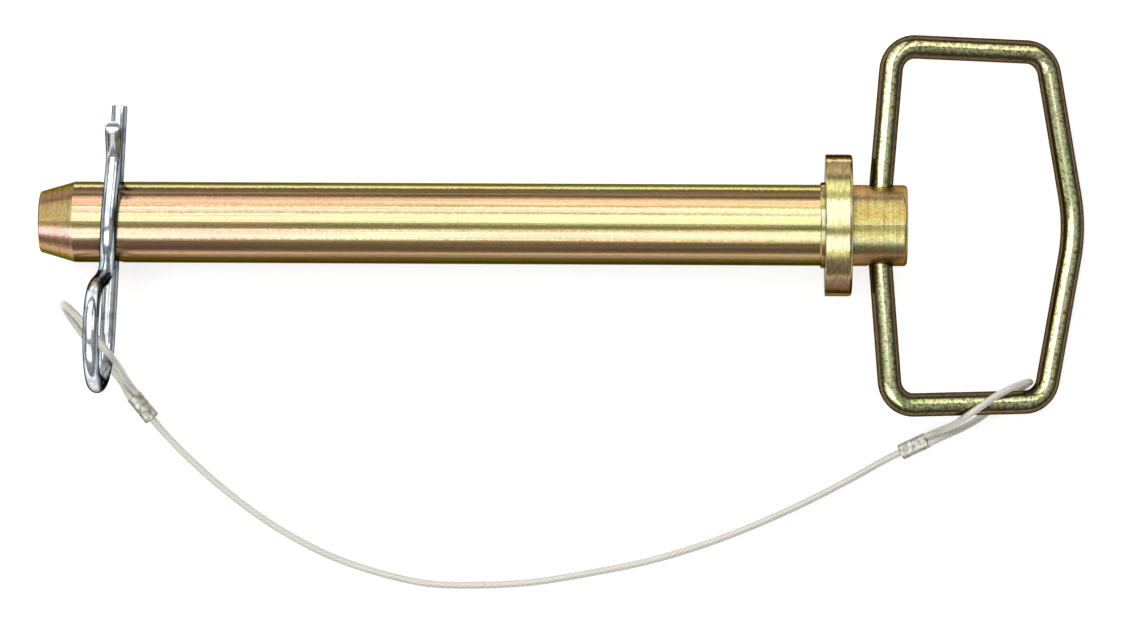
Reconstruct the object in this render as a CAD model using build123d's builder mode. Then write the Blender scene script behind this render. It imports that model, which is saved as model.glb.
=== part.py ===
from build123d import *
import os
from math import asin, atan, atan2, cos, degrees, hypot, pi, radians, sin, tan

os.makedirs("parts", exist_ok=True)

# A hitch pin with a swinging wire handle, an R-shaped spring clip and a wire-rope lanyard.
#
# Frame: millimetres. The origin is the centre of the collar's face that meets the drawbar,
# +X runs along the pin from the nose to the handle, and +Z is up as the pin lies on its side.
# The pin lies level in this frame, so the ground under it, which touches the collar's rim and
# the shank where the nose begins, falls slightly towards +X.

# ---- pin ----
shank_diameter = 19.05  # 3/4 in bar
usable_length = 164.6  # collar seat to the near edge of the clip hole, about 6-1/2 in
hole_to_nose = 8.75  # clip hole's middle to the start of the taper
nose_length = 8.2
nose_step = 2.375  # how far the taper comes in on each side
nose_edge = 0.4
collar_thickness = 6.35  # 1/4 in
collar_rim = 7.125  # how far the collar stands out round the shank
collar_seat_edge = 0.3
collar_back_edge = 0.8
bead_width = 0.575  # the staked lip round the shank on the collar's seat
bead_thickness = 1.1
boss_length = 12.9  # the bar's end behind the collar, where the handle is hung
boss_edge = 0.9

# ---- handle ----
handle_wire_diameter = 5.6  # 7/32 in wire
handle_play = 0.4  # radial, between the wire and its hole
pivot_behind_collar = 6.55
handle_tuck = 6.0  # how deep each wire end sits in the hole
handle_lean = 4.9  # degrees that each arm leans away from the collar
handle_near_half_width = 42.2
handle_far_reach = 41.75  # pivot to the far corners
handle_far_half_width = 41.3
handle_apex_reach = 48.85  # pivot to the wire's middle at the far bar's blunt point
handle_corner_radius = 6.0
handle_apex_radius = 40.0
handle_end_edge = 0.4

# ---- clip ----
clip_wire_diameter = 3.7
clip_play = 1.05  # radial, between the wire and its hole
clip_lean = 2.78  # degrees between the straight leg and the pin's cross direction
clip_offset = 0.2  # the leg sits this far from the hole's middle, towards the collar
clip_lift = 0.5  # and this far above it, pulled up by the spring leg
clip_tip_reach = 17.975  # shank's side to the straight leg's end
clip_crest_gap = 0.22  # between the spring leg and the top of the shank
ring_reach = 17.4  # shank's side to the middle of the ring
ring_radius = 11.45
eye_below_ring = 1.575  # middle of the ring to where the lanyard goes round the leg
clip_tip_edge = 0.5

# ---- lanyard ----
cable_diameter = 1.7  # wire rope in a clear sleeve
floor_gap = 0.02  # between the lanyard and the ground
ferrule_length = 7.0
ferrule_width = 3.7
ferrule_height = 2.5
ferrule_edge = 0.3
ferrule_pitch = 12.0  # degrees that the eye's end of each ferrule is lifted
ferrule_lift = 1.9  # ground to the middle of a ferrule's tail end
strand_offset = 0.87  # each eye strand from the ferrule's middle line
eye_beyond_middle = 3.4  # middle of the handle's side bar to where the lanyard goes round it

# ---- what follows from those sizes ----
shank_radius = shank_diameter / 2
pivot_x = collar_thickness + pivot_behind_collar
boss_end = collar_thickness + boss_length
clip_hole_diameter = clip_wire_diameter + 2 * clip_play
clip_hole_x = -(usable_length + clip_hole_diameter / 2)
nose_start = hole_to_nose - clip_hole_x
nose_tip_x = -(nose_start + nose_length)
nose_tip_diameter = shank_diameter - 2 * nose_step
collar_diameter = shank_diameter + 2 * collar_rim
bead_diameter = shank_diameter + 2 * bead_width
handle_hole_diameter = handle_wire_diameter + 2 * handle_play
floor_fall = (collar_diameter / 2 - shank_radius) / nose_start


def floor_height(x):
    """Height of the ground under the lying pin."""
    return -collar_diameter / 2 - floor_fall * x


def on_floor(*places):
    """Lanyard points that lie on the ground, from their X and Y."""
    rest = cable_diameter / 2 + floor_gap
    return [(x, y, floor_height(x) + rest) for x, y in places]


def bend_radii(points):
    """The largest arc that suits the two runs at each corner of a route."""
    corners = [Vector(*p) for p in points]
    radii = []
    for before, corner, after in zip(corners, corners[1:], corners[2:]):
        inward, outward = corner - before, after - corner
        half_turn = radians(inward.get_angle(outward)) / 2
        radii.append(0.45 * min(inward.length, outward.length) / tan(half_turn))
    return radii


def start_plane(route):
    """The plane square to a route at its first point."""
    return Plane(origin=route @ 0, z_dir=route % 0)


# ==== pin shank: nose, shank and the boss behind the collar, turned from one bar ====
with BuildPart() as pin_shank:
    with BuildSketch(Plane.XZ) as shank_profile:
        with BuildLine():
            Polyline(
                (nose_tip_x, 0),
                (nose_tip_x, nose_tip_diameter / 2),
                (-nose_start, shank_radius),
                (boss_end, shank_radius),
                (boss_end, 0),
                close=True,
            )
        make_face()
    revolve(axis=Axis.X)
    ends = pin_shank.edges().filter_by(GeomType.CIRCLE).sort_by(Axis.X)
    fillet(ends[0], radius=nose_edge)
    fillet(ends[-1], radius=boss_edge)
    with Locations(Plane(origin=(clip_hole_x, 0, 0), z_dir=(0, 1, 0))):
        Hole(radius=clip_hole_diameter / 2)
    with Locations(Plane(origin=(pivot_x, 0, 0), z_dir=(0, 1, 0))):
        Hole(radius=handle_hole_diameter / 2)
pin_shank.part.label = "pin_shank"
export_step(pin_shank.part, "parts/pin_shank.step")

# ==== collar: a ring pressed on to the bar, with a staked lip on its seat ====
with BuildPart() as collar:
    with BuildSketch(Plane.YZ):
        Circle(collar_diameter / 2)
        Circle(shank_radius, mode=Mode.SUBTRACT)
    extrude(amount=collar_thickness)
    rims = collar.edges().filter_by(GeomType.CIRCLE).group_by(SortBy.RADIUS)[-1].sort_by(Axis.X)
    fillet(rims[0], radius=collar_seat_edge)
    fillet(rims[-1], radius=collar_back_edge)
    with BuildSketch(Plane.YZ):
        Circle(bead_diameter / 2)
        Circle(shank_radius, mode=Mode.SUBTRACT)
    extrude(amount=-bead_thickness)
    lip = collar.edges().filter_by(GeomType.CIRCLE).sort_by(Axis.X).group_by(Axis.X)[0]
    chamfer(lip.sort_by(SortBy.RADIUS)[-1], length=(bead_diameter - shank_diameter) / 4)
collar.part.label = "collar"
export_step(collar.part, "parts/collar.step")

# ==== handle: one bent wire, its two ends sprung into the boss's cross hole ====
# It is drawn flat in its own plane, which droops until the far bar rests on the ground.
apex_half_turn = atan2(handle_apex_reach - handle_far_reach, handle_far_half_width)
apex_corner = handle_apex_reach + handle_apex_radius * (1 / cos(apex_half_turn) - 1)
floor_tilt = atan(floor_fall)
apex_drop = collar_diameter / 2 + floor_fall * pivot_x - handle_wire_diameter / 2 / cos(floor_tilt)
handle_droop = asin(apex_drop / handle_apex_reach * cos(floor_tilt)) + floor_tilt
handle_plane = Plane(
    origin=(pivot_x, 0, 0),
    x_dir=(cos(handle_droop), 0, -sin(handle_droop)),
    z_dir=(sin(handle_droop), 0, cos(handle_droop)),
)
arm_slope = tan(radians(handle_lean))
tuck_end = shank_radius - handle_tuck
tuck_middle = shank_radius - handle_tuck / 2


def arm_offset(y):
    """How far an arm's middle line lies from the pivot axis at a height y on it."""
    return arm_slope * (y - tuck_middle)


near_corner = arm_offset(handle_near_half_width)
handle_points = [
    (arm_offset(tuck_end), tuck_end),
    (near_corner, handle_near_half_width),
    (handle_far_reach, handle_far_half_width),
    (apex_corner, 0),
    (handle_far_reach, -handle_far_half_width),
    (near_corner, -handle_near_half_width),
    (arm_offset(tuck_end), -tuck_end),
]
corner = handle_corner_radius
handle_radii = [corner, corner, handle_apex_radius, corner, corner]
with BuildPart() as handle:
    with BuildLine(handle_plane) as handle_route:
        FilletPolyline(*handle_points, radius=handle_radii)
    with BuildSketch(start_plane(handle_route.line)):
        Circle(handle_wire_diameter / 2)
    sweep()
    cut_faces = handle.faces().filter_by(GeomType.PLANE)
    chamfer(cut_faces.edges(), length=handle_end_edge)
handle.part.label = "handle"
export_step(handle.part, "parts/handle.step")

# ==== clip: one wire in two nodes, the straight leg with its ring, and the spring leg ====
# The ring's corners stand on a circle outside it, so that each run between them touches it.
clip_slope = tan(radians(clip_lean))
ring_centre = -(shank_radius + ring_reach)
ring_height = clip_lift + ring_radius
ring_corner = ring_radius / cos(radians(22.5))
crest_radius = shank_radius + clip_wire_diameter / 2 + clip_crest_gap
entry_half, exit_half = radians(20), radians(15)  # half the angle the crest wraps, each side


def clip_point(y, z, aside=0.0):
    """A point of the clip's wire; aside is how far it stands off the straight leg's line."""
    return (clip_hole_x + clip_offset + clip_slope * y - aside, y, z)


def ring_point(angle, aside):
    """A corner of the ring, by its angle from +Y towards +Z."""
    turn = radians(angle)
    y = ring_centre + ring_corner * cos(turn)
    return clip_point(y, ring_height + ring_corner * sin(turn), aside)


def halfway(a, b):
    """The middle of a run."""
    return tuple((p + q) / 2 for p, q in zip(a, b))


def tangent_point(half_angle, side, along):
    """A point on the line that leaves the crest at twice half_angle from its top."""
    corner_y = crest_radius * tan(half_angle)
    out = corner_y + along * cos(2 * half_angle)
    return side * out, crest_radius - along * sin(2 * half_angle)


ring_top = ring_point(67.5, 1.6)
ring_shoulder = ring_point(22.5, 2.0)
ring_end = halfway(ring_top, ring_shoulder)
leg_points = [
    clip_point(shank_radius + clip_tip_reach, clip_lift),
    ring_point(247.5, 0.0),
    ring_point(202.5, 0.3),
    ring_point(157.5, 0.8),
    ring_point(112.5, 1.25),
    ring_top,
    ring_end,
]
neck_y, neck_z = tangent_point(entry_half, -1, 8.9)
dip_y, dip_z = tangent_point(exit_half, 1, 11.5)
spring_points = [
    ring_end,
    ring_shoulder,
    clip_point(neck_y - 2.0, neck_z + 0.3, 0.95),
    clip_point(neck_y, neck_z, 0.35),
    clip_point(-crest_radius * tan(entry_half), crest_radius),
    clip_point(crest_radius * tan(exit_half), crest_radius),
    clip_point(dip_y, dip_z + 0.8),
    clip_point(dip_y + 4.3, dip_z + 1.9, 0.1),
    clip_point(dip_y + 9.0, dip_z + 7.8),
]
clip_routes = {"clip_leg_and_ring": leg_points, "clip_spring_leg": spring_points}
for node, points in clip_routes.items():
    radii = bend_radii(points)
    with BuildPart() as clip_wire:
        with BuildLine() as clip_route:
            FilletPolyline(*points, radius=radii)
        with BuildSketch(start_plane(clip_route.line)):
            Circle(clip_wire_diameter / 2)
        sweep()
        free_end = clip_wire.faces().filter_by(GeomType.PLANE).sort_by(Axis.Y)[-1]
        chamfer(free_end.edges(), length=clip_tip_edge)
    clip_wire.part.label = node
    export_step(clip_wire.part, f"parts/{node}.step")
    print(node, "bend radii", [round(r, 1) for r in radii])


# ==== ferrules: oval crimps that close the lanyard's two eyes ====
# Each eye goes round one point of a wire: the straight leg below the ring, or the middle of
# the handle's side bar. Everything at that end of the lanyard is placed from there.
clip_anchor = clip_point(ring_centre - eye_below_ring, clip_lift)
bar_middle = (handle_far_reach + near_corner) / 2 + eye_beyond_middle
bar_anchor = (
    pivot_x + bar_middle * cos(handle_droop),
    -(handle_near_half_width + handle_far_half_width) / 2,
    -bar_middle * sin(handle_droop),
)


def ferrule_frame(tail_x, tail_y, heading):
    """The plane of a ferrule's tail end; its normal points to the eye."""
    flat, pitch = radians(heading), radians(ferrule_pitch)
    return Plane(
        origin=(tail_x, tail_y, floor_height(tail_x) + ferrule_lift),
        x_dir=(sin(flat), -cos(flat), 0),
        z_dir=(cos(flat) * cos(pitch), sin(flat) * cos(pitch), sin(pitch)),
    )


def in_ferrule(frame, side, along):
    """A point given from a ferrule's tail end: to its right, and towards the eye."""
    place = frame.origin + frame.x_dir * side + frame.z_dir * along
    return (place.X, place.Y, place.Z)


ferrule_frames = {
    "ferrule_clip": ferrule_frame(clip_anchor[0] + 9.8, clip_anchor[1] - 17.9, 128.4),
    "ferrule_handle": ferrule_frame(bar_anchor[0] - 18.78, bar_anchor[1] - 11.75, 25.6),
}
for node, frame in ferrule_frames.items():
    with BuildPart() as ferrule:
        with BuildSketch(frame):
            SlotOverall(ferrule_width, ferrule_height)
        extrude(amount=ferrule_length)
        rims = ferrule.faces().filter_by(GeomType.PLANE).sort_by(SortBy.AREA)
        fillet(rims[-1].edges() + rims[-2].edges(), radius=ferrule_edge)
    ferrule.part.label = node
    export_step(ferrule.part, f"parts/{node}.step")

# ==== lanyard: two eyes and the length between them, in two halves ====
clip_frame = ferrule_frames["ferrule_clip"]
handle_frame = ferrule_frames["ferrule_handle"]
cable_radius = cable_diameter / 2
clip_reach = clip_wire_diameter / 2 + cable_radius  # between middle lines, where they touch
bar_reach = handle_wire_diameter / 2 + cable_radius


def beside(wire, x, y, z):
    """A point given from a point of the wire's middle line."""
    return (wire[0] + x, wire[1] + y, wire[2] + z)


def below(wire, x, y, rise):
    """The same, but its height goes from 0 on the ground to 1 at the wire's middle line."""
    ground = floor_height(wire[0] + x) + cable_radius
    return (wire[0] + x, wire[1] + y, ground + rise * (wire[2] - ground))


# the strand to the right goes up through the clip's ring and comes back under its wire
clip_eye = [
    in_ferrule(clip_frame, strand_offset, ferrule_length),
    in_ferrule(clip_frame, strand_offset, ferrule_length + 3.2),
    beside(clip_anchor, clip_reach + 0.55, -5.1, 0.1),
    beside(clip_anchor, 1.5, -3.2, clip_reach + 1.85),
    beside(clip_anchor, -1.9, 1.1, clip_reach + 1.7),
    beside(clip_anchor, -5.7, 5.1, clip_reach - 0.4),
    below(clip_anchor, -9.4, 8.4, 0.92),
    below(clip_anchor, -11.6, 9.6, 0.59),
    below(clip_anchor, -11.1, 8.1, 0.25),
    below(clip_anchor, -8.3, 4.3, 0.065),
    below(clip_anchor, -3.9, -1.3, 0.06),
    below(clip_anchor, -0.2, -6.1, 0.19),
    in_ferrule(clip_frame, -strand_offset, ferrule_length + 3.6),
    in_ferrule(clip_frame, -strand_offset, ferrule_length),
]
# the strand to the left goes over the handle's side bar and comes back under it
handle_eye = [
    in_ferrule(handle_frame, -strand_offset, ferrule_length),
    in_ferrule(handle_frame, -strand_offset, ferrule_length + 3.2),
    beside(bar_anchor, -6.5, -1.4 * bar_reach, 0.08 * bar_reach),
    beside(bar_anchor, -4.0, -0.88 * bar_reach, 1.2 * bar_reach),
    beside(bar_anchor, -1.1, -0.3 * bar_reach, 1.28 * bar_reach),
    beside(bar_anchor, 2.9, 0.46 * bar_reach, 1.01 * bar_reach),
    beside(bar_anchor, 6.7, 1.03 * bar_reach, 0.65 * bar_reach),
    beside(bar_anchor, 10.3, 1.39 * bar_reach, -0.2 * bar_reach),
    beside(bar_anchor, 12.0, 1.44 * bar_reach, -1.16 * bar_reach),
    below(bar_anchor, 10.5, 1.12 * bar_reach, 0.21),
    below(bar_anchor, 6.1, 0.35 * bar_reach, 0.065),
    below(bar_anchor, 0.6, -0.88 * bar_reach, 0.052),
    below(bar_anchor, -3.9, -1.62 * bar_reach, 0.16),
    in_ferrule(handle_frame, strand_offset, ferrule_length + 3.6),
    in_ferrule(handle_frame, strand_offset, ferrule_length),
]
# between the ferrules it lies on the ground in one long bow away from the pin
clip_tail, handle_tail = clip_frame.origin, handle_frame.origin
span_x, span_y = handle_tail.X - clip_tail.X, handle_tail.Y - clip_tail.Y
span = hypot(span_x, span_y)


def bow(*places):
    """Points on the ground, from their share of the span and their distance from its line."""
    return on_floor(
        *(
            (
                clip_tail.X + share * span_x + sag * span_y / span,
                clip_tail.Y + share * span_y - sag * span_x / span,
            )
            for share, sag in places
        )
    )


middle = bow((0.4522, 35.9))[0]
clip_half = [
    in_ferrule(clip_frame, 0, 0),
    in_ferrule(clip_frame, 0, -4.0),
    *bow((0.0487, 8.8), (0.1012, 16.4), (0.1678, 24.3)),
    *bow((0.2511, 31.5), (0.345, 35.6), (0.4016, 36.5)),
    middle,
]
handle_half = [
    in_ferrule(handle_frame, 0, 0),
    in_ferrule(handle_frame, 0, -4.0),
    *bow((0.9389, 6.5), (0.87, 13.6), (0.776, 21.8)),
    *bow((0.6788, 28.3), (0.5839, 32.3), (0.5028, 35.3)),
    middle,
]
cable_routes = {
    "cable_clip_eye": clip_eye,
    "cable_clip_half": clip_half,
    "cable_handle_half": handle_half,
    "cable_handle_eye": handle_eye,
}
for node, points in cable_routes.items():
    radii = bend_radii(points)
    with BuildPart() as cable:
        with BuildLine() as cable_route:
            FilletPolyline(*points, radius=radii)
        with BuildSketch(start_plane(cable_route.line)):
            Circle(cable_diameter / 2)
        sweep()
    cable.part.label = node
    export_step(cable.part, f"parts/{node}.step")
    route_length = sum(edge.length for edge in cable_route.edges())
    expected = route_length * pi * cable_diameter**2 / 4
    print(node, "bend radii", [round(r, 1) for r in radii])
    print(f"  length {route_length:.1f}, volume {cable.part.volume / expected:.4f} of expected")

print(f"handle droop {degrees(handle_droop):.2f}, ground tilt {degrees(floor_tilt):.2f} degrees")
print(f"pivot at {pivot_x:.2f}, clip hole at {clip_hole_x:.2f}")
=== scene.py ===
# %% [markdown]
# A hitch pin, seen from straight above as it lies on a white table.
# The pin is a turned steel bar with a pressed collar, plated in yellow zinc. A bent wire handle
# swings in its boss, a bright R-shaped spring clip crosses its nose end, and a thin wire rope in
# a clear sleeve ties the clip to the handle. The CAD frame gives every piece its size and place;
# this lesson adds the finishes, and models again the pieces whose surface needs more.

from math import atan2, cos, pi, radians, sin, tan

import bmesh
import bpy
from mathutils import Matrix, Vector


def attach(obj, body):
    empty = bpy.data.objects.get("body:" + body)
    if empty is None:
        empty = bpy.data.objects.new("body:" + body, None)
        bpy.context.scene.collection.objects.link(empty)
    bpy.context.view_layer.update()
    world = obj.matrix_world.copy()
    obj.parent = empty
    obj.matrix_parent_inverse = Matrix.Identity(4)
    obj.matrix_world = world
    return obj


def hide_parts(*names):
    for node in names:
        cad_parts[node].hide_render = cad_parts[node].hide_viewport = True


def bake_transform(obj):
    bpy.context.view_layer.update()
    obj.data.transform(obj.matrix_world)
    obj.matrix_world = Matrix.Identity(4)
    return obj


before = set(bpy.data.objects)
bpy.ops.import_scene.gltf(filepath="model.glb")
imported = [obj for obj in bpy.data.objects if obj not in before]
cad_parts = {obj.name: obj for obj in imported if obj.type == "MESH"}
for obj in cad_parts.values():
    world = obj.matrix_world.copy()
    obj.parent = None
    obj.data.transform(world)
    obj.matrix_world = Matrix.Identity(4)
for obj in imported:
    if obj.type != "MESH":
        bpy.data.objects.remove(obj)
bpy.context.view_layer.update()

# %% [markdown]
# A catalogue view of a long flat object is taken from high above with a long lens, so that
# nothing leans. This camera hangs over the collar, whose rim would show one face if it were seen
# from the side, and leans 1.8 degrees towards the nose to bring the whole pin into the frame.

# %% Camera
camera = bpy.data.objects.new("Overhead camera", bpy.data.cameras.new("Overhead camera"))
camera.data.sensor_width = 36
camera.data.lens = 181.25
camera.location = (-0.020, -0.02067, 1.33)
camera.rotation_euler = (0, radians(1.786), radians(0.296))
bpy.context.collection.objects.link(camera)
bpy.context.scene.camera = camera

# %% [markdown]
# The pin rests on its collar's rim and on the shank, so the table is a plane that falls a little
# towards the handle while the pin stays level. Everything loose lies on that plane.

# %% Where the table is
COLLAR_RADIUS = 0.01665
NOSE_START = -0.17625
BOSS_START = 0.004
PIN_REACH = 0.18
TABLE_FALL = (COLLAR_RADIUS - 0.009525) / -NOSE_START


def table_height(x):
    return -COLLAR_RADIUS - TABLE_FALL * x


# %% [markdown]
# The lanyard is one rope: from a crimped ferrule it goes out round the clip's ring and back, and
# then across the table to the handle, where it makes a second eye. A NURBS spline of order 3
# bends smoothly from one control point to the next, as a springy rope does, and needs only a few
# points. The order and the endpoint setting come after the points, or they fall back to straight
# runs. The rope is cut at its middle, because one half follows the clip and one the handle.

# %% Rope routes
ROPE = 0.0017


def on_table(*places):
    rest = ROPE / 2 + 0.00002
    return [(x, y, table_height(x) + rest) for x, y in places]


def ferrule_place(tail_x, tail_y, heading):
    """A frame at a ferrule's tail end: X to its right, Y its short way, Z towards the eye."""
    flat, pitch = radians(heading), radians(12)
    ahead = Vector((cos(flat) * cos(pitch), sin(flat) * cos(pitch), sin(pitch)))
    right = Vector((sin(flat), -cos(flat), 0))
    turn = Matrix((right, ahead.cross(right), ahead)).transposed().to_4x4()
    return Matrix.Translation((tail_x, tail_y, table_height(tail_x) + 0.0019)) @ turn


def inside(place, side, along):
    return tuple(place @ Vector((side, 0, along)))


STRAND = 0.00087
FERRULE = 0.007
clip_ferrule_place = ferrule_place(-0.1589, -0.0464, 128.4)
handle_ferrule_place = ferrule_place(0.0185, -0.0535, 25.6)
rope_middle = on_table((-0.0801, -0.0855))[0]

clip_rope_points = [
    inside(clip_ferrule_place, STRAND, 0.0055),
    inside(clip_ferrule_place, STRAND, FERRULE + 0.0032),
    (-0.1659, -0.0340, 0.0005),
    (-0.1672, -0.0317, 0.0051),
    (-0.1706, -0.0274, 0.0049),
    (-0.1744, -0.0234, 0.0028),
    (-0.1777, -0.0203, -0.0002),
    (-0.1797, -0.0191, -0.0032),
    (-0.1795, -0.0206, -0.0063),
    (-0.1769, -0.0248, -0.0081),
    (-0.1723, -0.0304, -0.0084),
    (-0.1682, -0.0352, -0.0084),
    (-0.1657, -0.0383, -0.0082),
    inside(clip_ferrule_place, -STRAND, FERRULE + 0.0010),
    inside(clip_ferrule_place, -STRAND, FERRULE - 0.0015),
    inside(clip_ferrule_place, 0, 0.0015),
    inside(clip_ferrule_place, 0, -0.0040),
    *on_table((-0.1505, -0.0556), (-0.1415, -0.0636), (-0.1300, -0.0720)),
    *on_table((-0.1155, -0.0797), (-0.0990, -0.0845), (-0.0890, -0.0858)),
    rope_middle,
]
handle_rope_points = [
    inside(handle_ferrule_place, -STRAND, 0.0055),
    inside(handle_ferrule_place, -STRAND, FERRULE + 0.0032),
    (0.0307, -0.0469, -0.0083),
    (0.0332, -0.0450, -0.0042),
    (0.0361, -0.0429, -0.0039),
    (0.0401, -0.0401, -0.0049),
    (0.0439, -0.0380, -0.0062),
    (0.0475, -0.0367, -0.0093),
    (0.0492, -0.0365, -0.0128),
    (0.0477, -0.0377, -0.0158),
    (0.0433, -0.0405, -0.0170),
    (0.0378, -0.0450, -0.0169),
    (0.0333, -0.0477, -0.0158),
    inside(handle_ferrule_place, STRAND, FERRULE + 0.0036),
    inside(handle_ferrule_place, STRAND, FERRULE - 0.0015),
    inside(handle_ferrule_place, 0, 0.0015),
    inside(handle_ferrule_place, 0, -0.0040),
    *on_table((0.0074, -0.0596), (-0.0051, -0.0662), (-0.0221, -0.0737)),
    *on_table((-0.0396, -0.0795), (-0.0566, -0.0829), (-0.0711, -0.0853)),
    rope_middle,
]


# %% Splines, and the tube that follows one
def smooth_curve(name, points, detail):
    curve = bpy.data.curves.new(name, "CURVE")
    curve.dimensions = "3D"
    curve.resolution_u = detail
    spline = curve.splines.new("NURBS")
    spline.points.add(len(points) - 1)
    for control, point in zip(spline.points, points):
        control.co = (*point, 1)
    spline.order_u = 3
    spline.use_endpoint_u = True
    spline_object = bpy.data.objects.new(name, curve)
    bpy.context.collection.objects.link(spline_object)
    return spline_object


def as_mesh(curve_object, radius=0.0, around=4):
    """The curve's line, or a tube round it, as a mesh in the row frame."""
    curve_object.data.bevel_depth = radius
    curve_object.data.bevel_resolution = around
    curve_object.data.use_fill_caps = radius > 0
    seen = curve_object.evaluated_get(bpy.context.evaluated_depsgraph_get())
    return bpy.data.meshes.new_from_object(seen)


def show(name, mesh, material=None):
    piece = bpy.data.objects.new(name, mesh)
    bpy.context.collection.objects.link(piece)
    if material:
        mesh.materials.append(material)
    return piece


# %% [markdown]
# The rope is drawn as six strands wound round a core, which shine faintly through the sleeve.
# The sleeve is what can be touched, so the mesh is a smooth tube. The winding is stored on it as
# an attribute: each vertex keeps the sine and cosine of its place in the twist, which join up
# without a seam all the way round, and the material turns them into strands.

# %% Lanyard tubes
STRANDS = 6
LAY = 0.0095  # the rope's length in which a strand goes once round


def rope_tube(name, points):
    route = smooth_curve(name + "_route", points, 48)
    line = [v.co.copy() for v in as_mesh(route).vertices]
    mesh = as_mesh(route, ROPE / 2, 4)
    bpy.data.objects.remove(route)
    around = len(mesh.vertices) // len(line)
    gone = [0.0]
    for a, b in zip(line, line[1:]):
        gone.append(gone[-1] + (b - a).length)
    twist = mesh.attributes.new("twist", "FLOAT_VECTOR", "POINT")
    for i, _ in enumerate(mesh.vertices):
        ring, place = divmod(i, around)
        ring = min(ring, len(line) - 1)
        phase = STRANDS * 2 * pi * place / around + STRANDS * 2 * pi * gone[ring] / LAY
        twist.data[i].vector = (cos(phase), sin(phase), gone[ring])
    caps = bmesh.new()
    caps.from_mesh(mesh)
    bmesh.ops.remove_doubles(caps, verts=caps.verts, dist=1e-7)
    caps.to_mesh(mesh)
    caps.free()
    mesh.shade_smooth()
    print(name, "length", round(gone[-1], 4), "rings", len(line), "around", around)
    return show(name, mesh), line, gone[-1]


clip_rope, clip_rope_line, clip_rope_length = rope_tube("lanyard_clip_half", clip_rope_points)
handle_rope, handle_rope_line, handle_rope_length = rope_tube(
    "lanyard_handle_half", handle_rope_points
)

# %% [markdown]
# A ferrule is a short aluminium tube, pressed flat over the ropes in a hand crimper. It could be
# a plain oval prism, but the press leaves a waist on each broad side, a raised line where the
# jaws part, and ends that stay a little wider. A cone with equal ends is cut across into rings
# that are then scaled one by one, which is how the press shapes the real one.


# %% Ferrules
def soften_rims(solid, width):
    sharp = [e for e in solid.edges if len(e.link_faces) == 2 and e.calc_face_angle() > 1.2]
    bmesh.ops.bevel(
        solid, geom=sharp, offset=width, segments=3, profile=0.5, affect="EDGES", material=-1
    )


def crimped_ferrule(name, place, seed):
    shell = bmesh.new()
    bmesh.ops.create_cone(
        shell, cap_ends=True, segments=32, radius1=1, radius2=1, depth=FERRULE
    )
    cuts = 12
    for i in range(1, cuts):
        everything = shell.verts[:] + shell.edges[:] + shell.faces[:]
        level = FERRULE * (i / cuts - 0.5)
        bmesh.ops.bisect_plane(shell, geom=everything, plane_co=(0, 0, level), plane_no=(0, 0, 1))
    for v in shell.verts:
        angle = atan2(v.co.y, v.co.x)
        end = abs(v.co.z) / (FERRULE / 2)
        half_wide = 0.00185 - 0.00006 * (1 - end)
        half_thick = 0.00125 - 0.00016 * (1 - end**4)
        seam = 0.00005 * max(0, 1 - abs(sin(angle)) * 5)
        jaw = 0.00004 * sin(9 * pi * v.co.z / FERRULE + seed) * abs(sin(angle)) ** 3
        v.co.x = (half_wide + seam) * (abs(cos(angle)) ** 0.8) * (1 if cos(angle) > 0 else -1)
        v.co.y = (half_thick - abs(jaw)) * (abs(sin(angle)) ** 0.8) * (1 if v.co.y > 0 else -1)
        v.co.z += FERRULE / 2
    soften_rims(shell, 0.00022)
    bmesh.ops.recalc_face_normals(shell, faces=shell.faces)
    bmesh.ops.transform(shell, matrix=place, verts=shell.verts)
    mesh = bpy.data.meshes.new(name)
    shell.to_mesh(mesh)
    shell.free()
    mesh.shade_smooth()
    return show(name, mesh)


clip_ferrule = crimped_ferrule("crimped_ferrule_clip", clip_ferrule_place, 0.4)
handle_ferrule = crimped_ferrule("crimped_ferrule_handle", handle_ferrule_place, 1.9)

# %% What the ropes and ferrules stand for
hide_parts("cable_clip_eye", "cable_clip_half")
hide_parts("cable_handle_eye", "cable_handle_half")
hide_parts("ferrule_clip")
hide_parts("ferrule_handle")
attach(clip_ferrule, "clip")
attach(handle_ferrule, "handle")
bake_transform(clip_rope)
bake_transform(handle_rope)

# %% [markdown]
# The R-clip is one length of spring wire. Its straight leg goes through the pin, the wire turns
# back in a round finger ring, and the spring leg snaps over the top of the shank. Six control
# points on the corners of an octagon round the ring make an almost perfect circular arc, because
# the spline touches the middle of each of their runs. The tube's cut ends get a small bevel.

# %% R-clip
CLIP_WIRE = 0.0037
RING_CENTRE = (-0.0269, 0.01195)  # across the pin, and up
RING_CORNER = 0.01145 / cos(radians(22.5))
CREST = 0.009525 + CLIP_WIRE / 2 + 0.00022


def on_clip(y, z, aside=0.0):
    return (-0.1673 + 0.04856 * y - aside, y, z)


def ring_corner(angle, aside):
    turn = radians(angle)
    y = RING_CENTRE[0] + RING_CORNER * cos(turn)
    return on_clip(y, RING_CENTRE[1] + RING_CORNER * sin(turn), aside)


clip_points = [
    on_clip(0.0275, 0.0005),
    on_clip(-0.0230, 0.0005),
    ring_corner(247.5, 0),
    ring_corner(202.5, 0.0003),
    ring_corner(157.5, 0.0008),
    ring_corner(112.5, 0.00125),
    ring_corner(67.5, 0.0016),
    ring_corner(22.5, 0.0020),
    on_clip(-0.0130, 0.0062, 0.00095),
    on_clip(-0.0110, 0.0059, 0.00035),
    on_clip(-0.0042, CREST),
    on_clip(0.0031, CREST),
    on_clip(0.0131, 0.0067),
    on_clip(0.0174, 0.0078, 0.0001),
    on_clip(0.0221, 0.0137),
]
clip_curve = smooth_curve("r_clip_wire", clip_points, 24)
clip_mesh = as_mesh(clip_curve, CLIP_WIRE / 2, 10)
bpy.data.objects.remove(clip_curve)
wire = bmesh.new()
wire.from_mesh(clip_mesh)
bmesh.ops.remove_doubles(wire, verts=wire.verts, dist=1e-7)
soften_rims(wire, 0.00045)
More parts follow.
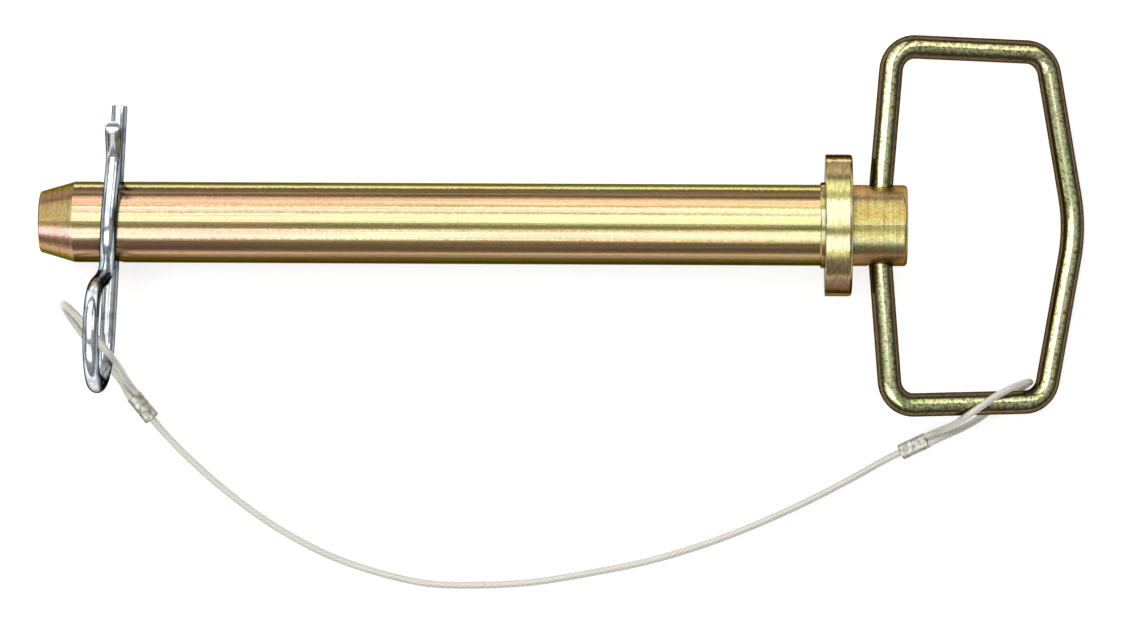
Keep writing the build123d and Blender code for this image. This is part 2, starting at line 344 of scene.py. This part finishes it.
bmesh.ops.recalc_face_normals(wire, faces=wire.faces)
wire.to_mesh(clip_mesh)
wire.free()
clip_mesh.shade_smooth()
clip = show("r_clip", clip_mesh)
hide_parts("clip_leg_and_ring", "clip_spring_leg")
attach(clip, "clip")
print("R-clip faces", len(clip_mesh.polygons))

# %% [markdown]
# Every finish here is built from nodes. A short helper adds a node, sets its plain inputs and
# joins the linked ones, so that a material reads as a list of steps.


# %% Node helpers
FINE_DEPTH, STRAND_DEPTH, DENT_DEPTH = 0.00003, 0.00008, 0.0001  # how deep a bump goes


def new_material(name):
    material = bpy.data.materials.new(name)
    material.use_nodes = True
    tree = material.node_tree
    tree.nodes.clear()
    output = tree.nodes.new("ShaderNodeOutputMaterial")
    shader = tree.nodes.new("ShaderNodeBsdfPrincipled")
    tree.links.new(shader.outputs[0], output.inputs[0])
    return material, tree, shader


def step(tree, kind, inputs=None, **settings):
    node = tree.nodes.new("ShaderNode" + kind)
    for key, value in settings.items():
        setattr(node, key, value)
    for key, value in (inputs or {}).items():
        if isinstance(value, bpy.types.NodeSocket):
            tree.links.new(value, node.inputs[key])
        else:
            node.inputs[key].default_value = value
    return node


def maths(tree, operation, a, b=0.0, clamp=False):
    return step(tree, "Math", {0: a, 1: b}, operation=operation, use_clamp=clamp).outputs[0]


def scaled(tree, value, factor, start):
    """The value times a factor, counted from a start."""
    return step(tree, "Math", {0: value, 1: factor, 2: start}, operation="MULTIPLY_ADD").outputs[0]


def ramp(tree, value, stops):
    node = step(tree, "ValToRGB", {0: value})
    band = node.color_ramp.elements
    while len(band) < len(stops):
        band.new(0.5)
    for element, (place, colour) in zip(band, stops):
        element.position = place
        element.color = (*colour, 1)
    return node.outputs[0]


def mix(tree, amount, a, b, blend="MIX"):
    node = step(tree, "Mix", data_type="RGBA", blend_type=blend)
    for key, value in ((0, amount), (6, a), (7, b)):
        if isinstance(value, bpy.types.NodeSocket):
            tree.links.new(value, node.inputs[key])
        else:
            node.inputs[key].default_value = value if key == 0 else (*value, 1)
    return node.outputs[2]


def stretched(tree, scale):
    """Object coordinates, scaled by a different amount along each axis."""
    place = step(tree, "TexCoord").outputs["Object"]
    return step(tree, "Mapping", {0: place, 3: scale}).outputs[0]


def own_normal(tree, axis):
    """How far the surface faces along one of the piece's own axes."""
    normal = step(tree, "TexCoord").outputs["Normal"]
    return step(tree, "SeparateXYZ", {0: normal}).outputs[axis]


def relief(tree, shader, height, strength, depth):
    bump = step(tree, "Bump", {"Strength": strength, "Distance": depth, "Height": height})
    tree.links.new(bump.outputs[0], shader.inputs["Normal"])


def repaint(node_name, material):
    """Give a piece that comes straight from the CAD this finish in place of its own."""
    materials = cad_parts[node_name].data.materials
    materials.clear()
    materials.append(material)


def metal_edge(shader, tint):
    """A metal whose reflection fades to this tint where the surface turns away; the dark tints
    used paint shade on the rims.
    """
    shader.inputs["Metallic"].default_value = 1
    shader.inputs["Specular Tint"].default_value = (*tint, 1)


def noise(tree, vector, scale, detail=4.0, rough=0.55):
    node = step(tree, "TexNoise", {"Vector": vector, "Scale": scale, "Detail": detail})
    node.inputs["Roughness"].default_value = rough
    return node.outputs["Fac"]


# %% [markdown]
# Yellow zinc is a thin chromate film over bright zinc, and its colour runs from olive through
# lemon to rose and brown. The bands along the bar are laid out by the angle round it. They stand
# for two things at once: the film's own colours, and the long narrow reflections that two broad
# lamps are too plain to make. So they turn with the bar, and stay under any other light. A slow
# noise bends them, a noise stretched along the bar draws finer streaks between them, and the
# lathe's rings show at the nose and the boss.

# %% Yellow zinc colours
CREAM = (0.61, 0.57, 0.36)
BLUSH = (0.62, 0.53, 0.38)
LEMON = (0.59, 0.54, 0.29)
PEACH = (0.62, 0.41, 0.25)
TAN = (0.42, 0.31, 0.15)
KHAKI = (0.38, 0.31, 0.13)
BROWN = (0.50, 0.32, 0.18)
OLIVE = (0.30, 0.27, 0.11)
ROSE = (0.30, 0.20, 0.13)
UMBER = (0.15, 0.105, 0.055)
MOSS = (0.13, 0.12, 0.065)
# A thin painted highlight: the white table's reflection along the metal, painted as a pale line.
PAINTED_HIGHLIGHT_LINE = (0.92, 0.86, 0.48)
GREYS = [(0.34, (0.22, 0.22, 0.22)), (0.66, (0.8, 0.8, 0.8))]


def round_the_bar(tree, bend=0.012):
    """The angle round the X axis, as 0 to 1 with 0.5 on top, and a slow noise added."""
    place = step(tree, "TexCoord").outputs["Object"]
    parts = step(tree, "SeparateXYZ", {0: place})
    angle = maths(tree, "ARCTAN2", parts.outputs[1], parts.outputs[2])
    turn = scaled(tree, angle, 1 / (2 * pi), 0.5)
    wander = noise(tree, stretched(tree, (12, 60, 60)), 1.0, 2.0)
    wander = maths(tree, "MULTIPLY", maths(tree, "SUBTRACT", wander, 0.5), bend)
    grain = noise(tree, stretched(tree, (1400, 2200, 2200)), 1.0, 3.0, 0.6)
    grain = maths(tree, "MULTIPLY", maths(tree, "SUBTRACT", grain, 0.5), 0.022)
    turn = maths(tree, "ADD", maths(tree, "ADD", turn, wander), grain)
    return turn, parts.outputs[0]


def degrees_round(*stops):
    """Ramp stops from angles in degrees, with 0 on top and positive towards +Y."""
    return [(0.5 + angle / 360, colour) for angle, colour in stops]


SHANK_BANDS = degrees_round(
    (-180, UMBER),
    (-140, TAN),
    (-110, OLIVE),
    (-68, MOSS),
    (-64, UMBER),
    (-59, UMBER),
    (-56, ROSE),
    (-53, ROSE),
    (-50, BROWN),
    (-32, BROWN),
    (-29, TAN),
    (-25, TAN),
    (-24, BLUSH),
    (-12, BLUSH),
    (-9, KHAKI),
    (-4, KHAKI),
    (-2, LEMON),
    (12, CREAM),
    (14, TAN),
    (16, BLUSH),
    (22, BLUSH),
    (24, KHAKI),
    (27, PEACH),
    (37, PEACH),
    (40, BROWN),
    (50, UMBER),
    (58, UMBER),
    (60, PAINTED_HIGHLIGHT_LINE),
    (64, PAINTED_HIGHLIGHT_LINE),
    (67, OLIVE),
    (110, OLIVE),
    (180, UMBER),
)
TURNED_BANDS = degrees_round(
    (-180, UMBER),
    (-110, OLIVE),
    (-62, OLIVE),
    (-50, PEACH),
    (-42, TAN),
    (-34, BROWN),
    (-27, PEACH),
    (-22, (0.82, 0.70, 0.60)),
    (-12, (0.82, 0.70, 0.60)),
    (-6, TAN),
    (0, (0.44, 0.38, 0.15)),
    (12, (0.36, 0.31, 0.12)),
    (30, (0.35, 0.28, 0.13)),
    (48, ROSE),
    (60, OLIVE),
    (120, KHAKI),
    (180, UMBER),
)
BOSS_BANDS = degrees_round(
    (-180, TAN),
    (-100, ROSE),
    (-57, ROSE),
    (-39, TAN),
    (-28, CREAM),
    (-20, CREAM),
    (-11, (0.54, 0.45, 0.18)),
    (0, LEMON),
    (11, (0.50, 0.40, 0.16)),
    (25, (0.49, 0.39, 0.18)),
    (39, (0.51, 0.37, 0.20)),
    (57, (0.58, 0.38, 0.23)),
    (110, PEACH),
    (180, TAN),
)


# %% Yellow zinc on the bar
def bar_material():
    material, tree, shader = new_material("Yellow zinc, turned bar")
    turn, along = round_the_bar(tree)
    shank = ramp(tree, turn, SHANK_BANDS)
    nose = ramp(tree, turn, TURNED_BANDS)
    boss = ramp(tree, turn, BOSS_BANDS)
    on_nose = maths(tree, "LESS_THAN", along, NOSE_START)
    on_boss = maths(tree, "GREATER_THAN", along, BOSS_START)
    colour = mix(tree, on_boss, mix(tree, on_nose, shank, nose), boss)
    nose_end = maths(tree, "MULTIPLY", along, -1 / PIN_REACH)
    warmth = ramp(tree, nose_end, [(0.1, (0.98, 1.0, 0.90)), (0.9, (1.0, 0.93, 1.0))])
    colour = mix(tree, 1.0, colour, warmth, "MULTIPLY")
    streaks = noise(tree, stretched(tree, (9, 1700, 1700)), 1.0, 5.0, 0.65)
    rings = noise(tree, stretched(tree, (3000, 60, 60)), 1.0, 4.0, 0.7)
    turned = maths(tree, "ADD", on_nose, on_boss, clamp=True)
    grain = mix(tree, turned, ramp(tree, streaks, GREYS), ramp(tree, rings, GREYS))
    colour = mix(tree, 0.45, colour, grain, "OVERLAY")
    speckle = noise(tree, stretched(tree, (1500, 1900, 1900)), 1.0, 5.0, 0.7)
    mottle = ramp(tree, speckle, [(0.36, (0.62, 0.60, 0.52)), (0.56, (1.0, 1.0, 1.0))])
    blotches = noise(tree, stretched(tree, (350, 260, 260)), 1.0, 4.0, 0.6)
    rusty = ramp(tree, blotches, [(0.42, (1.0, 1.0, 1.0)), (0.62, (1.0, 0.84, 0.74))])
    colour = mix(tree, maths(tree, "MULTIPLY", turned, 0.9), colour, rusty, "MULTIPLY")
    colour = mix(tree, scaled(tree, turned, 0.45, 0.5), colour, mottle, "MULTIPLY")
    patches = noise(tree, stretched(tree, (40, 160, 160)), 1.0, 3.0)
    tint = ramp(tree, patches, [(0.35, (0.90, 1.0, 0.86)), (0.65, (1.0, 0.90, 0.88))])
    colour = mix(tree, 0.8, colour, tint, "MULTIPLY")
    nicks = noise(tree, stretched(tree, (700, 1600, 1600)), 1.0, 6.0, 0.7)
    nicked = maths(tree, "GREATER_THAN", nicks, 0.72)
    colour = mix(tree, maths(tree, "MULTIPLY", nicked, 0.5), colour, (0.62, 0.60, 0.52))
    tree.links.new(colour, shader.inputs["Base Color"])
    metal_edge(shader, (0.26, 0.26, 0.17))
    dull = scaled(tree, patches, 0.10, 0.12)
    dull = maths(tree, "ADD", dull, maths(tree, "MULTIPLY", turned, 0.10))
    tree.links.new(dull, shader.inputs["Roughness"])
    relief(tree, shader, grain, 0.4, FINE_DEPTH)
    return material


repaint("pin_shank", bar_material())

# %% [markdown]
# The collar is a slice of bar, and like the bar's its bands are partly the film's own colours and
# partly painted reflections: painted highlights, a thin painted highlight line and dark flanks.
# Its two broad faces were faced off on the lathe, and a wave in the distance from the axis gives
# them their fine rings.

# %% Yellow zinc on the collar
# Film colours with painted highlights and painted dark reflections, laid out by the angle round.
COLLAR_FILM_AND_REFLECTION_BANDS = degrees_round(
    (-180, OLIVE),
    (-120, TAN),
    (-80, CREAM),
    (-75, CREAM),
    (-72, UMBER),
    (-57, (0.20, 0.13, 0.09)),
    (-51, (0.24, 0.14, 0.10)),
    (-46, KHAKI),
    (-38, BROWN),
    (-30, (0.46, 0.38, 0.15)),
    (-24, (0.40, 0.36, 0.12)),
    (-20, CREAM),
    (-10, CREAM),
    (-7, (0.42, 0.38, 0.14)),
    (-4, (0.42, 0.38, 0.14)),
    (0, LEMON),
    (5, CREAM),
    (19, CREAM),
    (22, (0.28, 0.26, 0.09)),
    (26, (0.28, 0.26, 0.09)),
    (29, (0.50, 0.46, 0.18)),
    (39, (0.52, 0.46, 0.18)),
    (46, TAN),
    (56, (0.33, 0.24, 0.12)),
    (62, (0.36, 0.23, 0.13)),
    (64, PAINTED_HIGHLIGHT_LINE),
    (66, PAINTED_HIGHLIGHT_LINE),
    (68, (0.30, 0.20, 0.11)),
    (76, (0.22, 0.16, 0.10)),
    (120, OLIVE),
    (150, ROSE),
    (180, OLIVE),
)


def collar_material():
    material, tree, shader = new_material("Yellow zinc, collar")
    turn, _ = round_the_bar(tree, 0.008)
    colour = ramp(tree, turn, COLLAR_FILM_AND_REFLECTION_BANDS)
    place = step(tree, "TexCoord").outputs["Object"]
    flat = step(tree, "VectorMath", {0: place, 1: (0, 1, 1)}, operation="MULTIPLY")
    out = step(tree, "VectorMath", {0: flat.outputs[0]}, operation="LENGTH").outputs["Value"]
    facing = step(tree, "CombineXYZ", {0: maths(tree, "MULTIPLY", out, 3200)}).outputs[0]
    rings = noise(tree, facing, 1.0, 3.0, 0.6)
    face_colour = ramp(tree, rings, [(0.3, OLIVE), (0.5, LEMON), (0.7, TAN)])
    is_face = maths(tree, "GREATER_THAN", maths(tree, "ABSOLUTE", own_normal(tree, 0)), 0.8)
    colour = mix(tree, maths(tree, "MULTIPLY", is_face, 0.75), colour, face_colour)
    across = noise(tree, stretched(tree, (2600, 500, 500)), 1.0, 5.0, 0.65)
    colour = mix(tree, 0.55, colour, ramp(tree, across, GREYS), "OVERLAY")
    tree.links.new(colour, shader.inputs["Base Color"])
    metal_edge(shader, (0.12, 0.10, 0.05))
    shader.inputs["Roughness"].default_value = 0.22
    relief(tree, shader, across, 0.3, FINE_DEPTH)
    return material


repaint("collar", collar_material())

# %% [markdown]
# Drawn wire takes the same film less evenly, and it is pitted. It is painted pale green-gold
# along the crown of the wire, a painted highlight, and dark down both flanks, a painted dark
# reflection. Much of that contrast would be reflection on real wire, so here it turns with the
# handle instead of staying on top. The surface's own direction, read from the Normal output of
# Texture Coordinate, tells crown from flank all the way round the bends.


# %% Yellow zinc on the handle
def handle_material():
    material, tree, shader = new_material("Yellow zinc, drawn wire")
    place = step(tree, "TexCoord").outputs["Object"]
    facing = own_normal(tree, 2)
    pits = noise(tree, place, 1300, 5.0, 0.7)
    ragged = maths(tree, "MULTIPLY", maths(tree, "SUBTRACT", pits, 0.5), 0.35)
    crown = maths(tree, "ADD", maths(tree, "ABSOLUTE", facing), ragged)
    # Pale on the crown and dark down the flanks: painted highlight and painted dark reflection
    # over the film.
    film_with_painted_light = ramp(
        tree,
        crown,
        [
            (0.10, (0.34, 0.23, 0.19)),
            (0.26, (0.13, 0.10, 0.07)),
            (0.70, (0.14, 0.115, 0.07)),
            (0.84, (0.20, 0.18, 0.09)),
            (0.93, (0.52, 0.53, 0.27)),
            (0.985, (0.95, 0.95, 0.62)),
        ],
    )
    slow = noise(tree, place, 110, 3.0)
    tint = ramp(
        tree, slow, [(0.35, (0.90, 1.0, 0.80)), (0.52, (1.0, 1.0, 0.95)), (0.7, (1.0, 0.86, 0.76))]
    )
    colour = mix(tree, 0.8, film_with_painted_light, tint, "MULTIPLY")
    pitted = ramp(tree, pits, [(0.34, (0.35, 0.33, 0.25)), (0.50, (1, 1, 1))])
    colour = mix(tree, 0.8, colour, pitted, "MULTIPLY")
    tree.links.new(colour, shader.inputs["Base Color"])
    metal_edge(shader, (0.30, 0.20, 0.16))
    tree.links.new(scaled(tree, pits, -0.20, 0.24), shader.inputs["Roughness"])
    relief(tree, shader, pits, 0.3, FINE_DEPTH)
    return material


repaint("handle", handle_material())

# %% [markdown]
# The clip is plated in clear zinc, which is bluish and almost a mirror. Cloudy patches and small
# dents keep it from looking like chrome, and its two flanks are painted darker than its crown,
# a painted dark reflection down both sides of the wire.


# %% Bright zinc on the clip
def clip_material():
    material, tree, shader = new_material("Bright zinc, spring wire")
    place = step(tree, "TexCoord").outputs["Object"]
    cloud = noise(tree, place, 260, 4.0)
    bright = ramp(tree, cloud, [(0.35, (0.36, 0.39, 0.43)), (0.55, (0.78, 0.82, 0.84))])
    facing = own_normal(tree, 0)
    # Painted dark reflection: the wire's colour darkens towards its flanks.
    flank = ramp(
        tree,
        maths(tree, "ABSOLUTE", facing),
        [(0.55, (1, 1, 1)), (0.72, (0.50, 0.54, 0.58)), (0.95, (0.34, 0.36, 0.38))],
    )
    colour = mix(tree, 1.0, bright, flank, "MULTIPLY")
    tree.links.new(colour, shader.inputs["Base Color"])
    metal_edge(shader, (0.02, 0.025, 0.03))
    tree.links.new(scaled(tree, cloud, 0.16, 0.06), shader.inputs["Roughness"])
    relief(tree, shader, noise(tree, place, 420, 3.0), 0.35, DENT_DEPTH)
    return material


clip_mesh.materials.append(clip_material())

# %% [markdown]
# The sleeve is clear plastic gone slightly milky, and the rope's wires show in it as pale bars
# that lean with the twist: the lay is the rope's own, but each strand's pale crown is a painted
# sheen and the dark groove beside it painted shade. Real depth would need a glass tube with wires
# inside; at this size a strand pattern under a smooth coat looks the same.


# %% Sleeved rope
def rope_material():
    material, tree, shader = new_material("Wire rope in a clear sleeve")
    twist = step(tree, "Attribute", attribute_name="twist").outputs["Vector"]
    parts = step(tree, "SeparateXYZ", {0: twist})
    crown = scaled(tree, parts.outputs[0], 0.5, 0.5)
    place = step(tree, "TexCoord").outputs["Object"]
    milk = noise(tree, place, 300, 3.0)
    # Each strand pale on its crown and dark in the grooves: painted sheen and painted shade.
    strands = ramp(
        tree,
        crown,
        [(0.0, (0.36, 0.335, 0.27)), (0.35, (0.51, 0.485, 0.41)), (0.85, (0.68, 0.665, 0.58))],
    )
    colour = mix(tree, maths(tree, "MULTIPLY", milk, 0.7), strands, (0.66, 0.645, 0.57))
    tree.links.new(colour, shader.inputs["Base Color"])
    shader.inputs["Metallic"].default_value = 0.15
    shader.inputs["Roughness"].default_value = 0.38
    shader.inputs["Coat Weight"].default_value = 0.8
    shader.inputs["Coat Roughness"].default_value = 0.12
    relief(tree, shader, crown, 0.5, STRAND_DEPTH)
    return material


rope_finish = rope_material()
clip_rope.data.materials.append(rope_finish)
handle_rope.data.materials.append(rope_finish)


# %% Pressed aluminium
def ferrule_material():
    material, tree, shader = new_material("Crimped aluminium")
    place = step(tree, "TexCoord").outputs["Object"]
    dings = noise(tree, place, 1100, 4.0, 0.6)
    colour = ramp(
        tree,
        dings,
        [(0.36, (0.24, 0.225, 0.18)), (0.5, (0.44, 0.42, 0.37)), (0.64, (0.60, 0.59, 0.54))],
    )
    tree.links.new(colour, shader.inputs["Base Color"])
    metal_edge(shader, (0.08, 0.07, 0.06))
    shader.inputs["Roughness"].default_value = 0.38
    relief(tree, shader, dings, 0.4, STRAND_DEPTH)
    return material


ferrule_finish = ferrule_material()
clip_ferrule.data.materials.append(ferrule_finish)
handle_ferrule.data.materials.append(ferrule_finish)

# %% [markdown]
# Round polished metal is mostly a picture of its room. Two soft lamps hang over the pin, one to
# each side of the camera, so the bar shows a broad bright band and a narrow one with a quiet line
# between them, and the dim room gives it dark flanks. They reach far to the left, so that the
# nose's cone reflects them too, and a small third one lights the handle's drooping sides. Part of
# the table's white is its own light, seen by the camera and in reflections, so its shadow stays
# soft.


# %% Table, lamps and sky
def soft_lamp(name, from_degrees, to_degrees, x, long):
    """A lamp that fills these angles from straight up, measured towards +Y."""
    middle = radians((from_degrees + to_degrees) / 2)
    wide = 2 * LAMP_AWAY * tan(radians((to_degrees - from_degrees) / 2))
    data = bpy.data.lights.new(name, "AREA")
    data.shape = "RECTANGLE"
    data.size, data.size_y = long, wide
    data.energy = LAMP_STRENGTH * pi * data.size * wide
    lamp = bpy.data.objects.new(name, data)
    lamp.location = (x, LAMP_AWAY * sin(middle), LAMP_AWAY * cos(middle))
    lamp.rotation_euler = (-middle, 0, 0)
    lamp.visible_camera = False
    bpy.context.collection.objects.link(lamp)


LAMP_AWAY, LAMP_STRENGTH = 1.2, 1.6
soft_lamp("Soft lamp, far side", -4, 76, -0.62, 1.7)
soft_lamp("Soft lamp, near side", -52, -17, -0.62, 1.7)
soft_lamp("Small lamp by the handle", 14, 66, 0.95, 0.8)

world = bpy.data.worlds.new("Dim room")
bpy.context.scene.world = world
world.use_nodes = True
sky = world.node_tree
sky.nodes.clear()
up = step(sky, "SeparateXYZ", {0: step(sky, "TexCoord").outputs["Generated"]}).outputs[2]
shade = ramp(
    sky, up, [(0.0, (0.20, 0.20, 0.21)), (0.3, (0.26, 0.26, 0.27)), (0.9, (0.45, 0.45, 0.45))]
)
background = step(sky, "Background", {0: shade, 1: 1.0})
sky.links.new(background.outputs[0], step(sky, "OutputWorld").inputs[0])

table_shape = bmesh.new()
bmesh.ops.create_grid(table_shape, x_segments=1, y_segments=1, size=6)
for v in table_shape.verts:
    v.co.z = table_height(v.co.x)
table_mesh = bpy.data.meshes.new("Table")
table_shape.to_mesh(table_mesh)
table_shape.free()
table = show("table", table_mesh)
paper, tree, shader = new_material("White table")
shader.inputs["Base Color"].default_value = (0.62, 0.62, 0.62, 1)
shader.inputs["Roughness"].default_value = 0.9
shader.inputs["Specular IOR Level"].default_value = 0.1
rays = step(tree, "LightPath")
looked_at = maths(tree, "MAXIMUM", rays.outputs["Is Camera Ray"], rays.outputs["Is Glossy Ray"])
looked_at = maths(tree, "MAXIMUM", looked_at, rays.outputs["Is Transmission Ray"])
shader.inputs["Emission Color"].default_value = (1, 1, 1, 1)
tree.links.new(maths(tree, "MULTIPLY", looked_at, 0.6), shader.inputs["Emission Strength"])
table_mesh.materials.append(paper)

bpy.context.scene.view_settings.view_transform = "Standard"
